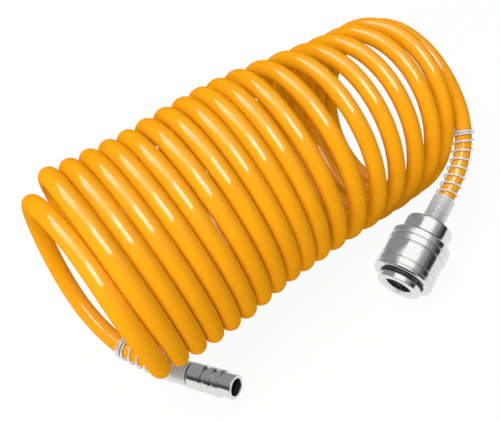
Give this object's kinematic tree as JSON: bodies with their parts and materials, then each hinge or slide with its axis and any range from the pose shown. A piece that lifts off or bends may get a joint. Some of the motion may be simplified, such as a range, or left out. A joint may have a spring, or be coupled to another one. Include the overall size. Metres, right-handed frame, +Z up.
{
  "type": "recoil air hose",
  "caption": "Spiral compressed-air hose with a sprung push-on socket at one end, a male plug at the other and a wire spring guard round each tail.",
  "frame": {"origin": "bottom centre of the whole hose's box, on the surface that the hose lies on", "axes": "+X along the coil from the plug's end to the socket's end, +Y away from the socket's side, +Z up"},
  "size_m": [0.2166, 0.131, 0.1091],
  "materials": {
    "hose": "glossy orange polyurethane",
    "nickel": "bright nickel plate",
    "zinc_wire": "bright zinc-plated wire",
    "steel": "plain spring steel",
    "brass": "turned brass",
    "seal_rubber": "black nitrile rubber"
  },
  "bodies": {
    "hose": {"recoil_hose": "hose", "plug_body": "nickel", "plug_spring_guard": "zinc_wire", "socket_spring_guard": "zinc_wire", "socket_rear_body": "nickel", "socket_body": "nickel", "sleeve_retaining_ring": "steel", "sleeve_spring": "steel", "valve_spring": "steel", "plug_seal": "seal_rubber", "body_seal": "seal_rubber"},
    "sleeve": {"socket_sleeve": "nickel"},
    "valve": {"valve_poppet": "brass", "valve_seal": "seal_rubber"},
    "ball_1": {"locking_ball_1": "steel"},
    "ball_2": {"locking_ball_2": "steel"},
    "ball_3": {"locking_ball_3": "steel"},
    "ball_4": {"locking_ball_4": "steel"},
    "ball_5": {"locking_ball_5": "steel"},
    "ball_6": {"locking_ball_6": "steel"}
  },
  "joints": [
    {"name": "sleeve_slide", "type": "slide", "parent": "hose", "child": "sleeve", "axis": [0.9069, 0.1928, 0.3746], "range_m": [0, 0.0045], "stiffness_N_per_m": 1500, "springref_m": -0.004, "deforming": ["sleeve_spring"]},
    {"name": "valve_slide", "type": "slide", "parent": "hose", "child": "valve", "axis": [0.9069, 0.1928, 0.3746], "range_m": [0, 0.003], "stiffness_N_per_m": 400, "springref_m": -0.003, "deforming": ["valve_spring"]},
    {"name": "ball_slide_1", "type": "slide", "parent": "hose", "child": "ball_1", "axis": [0.2079, -0.9781, 0], "range_m": [0, 0.0009]},
    {"name": "ball_slide_2", "type": "slide", "parent": "hose", "child": "ball_2", "axis": [-0.2134, -0.5565, 0.803], "range_m": [0, 0.0009]},
    {"name": "ball_slide_3", "type": "slide", "parent": "hose", "child": "ball_3", "axis": [-0.4213, 0.4216, 0.803], "range_m": [0, 0.0009]},
    {"name": "ball_slide_4", "type": "slide", "parent": "hose", "child": "ball_4", "axis": [-0.2079, 0.9781, 0], "range_m": [0, 0.0009]},
    {"name": "ball_slide_5", "type": "slide", "parent": "hose", "child": "ball_5", "axis": [0.2134, 0.5565, -0.803], "range_m": [0, 0.0009]},
    {"name": "ball_slide_6", "type": "slide", "parent": "hose", "child": "ball_6", "axis": [0.4213, -0.4216, -0.803], "range_m": [0, 0.0009]}
  ],
  "couplings": [
    {"joint": "ball_slide_1", "follows": "sleeve_slide", "ratio": 0.2},
    {"joint": "ball_slide_2", "follows": "sleeve_slide", "ratio": 0.2},
    {"joint": "ball_slide_3", "follows": "sleeve_slide", "ratio": 0.2},
    {"joint": "ball_slide_4", "follows": "sleeve_slide", "ratio": 0.2},
    {"joint": "ball_slide_5", "follows": "sleeve_slide", "ratio": 0.2},
    {"joint": "ball_slide_6", "follows": "sleeve_slide", "ratio": 0.2}
  ]
}
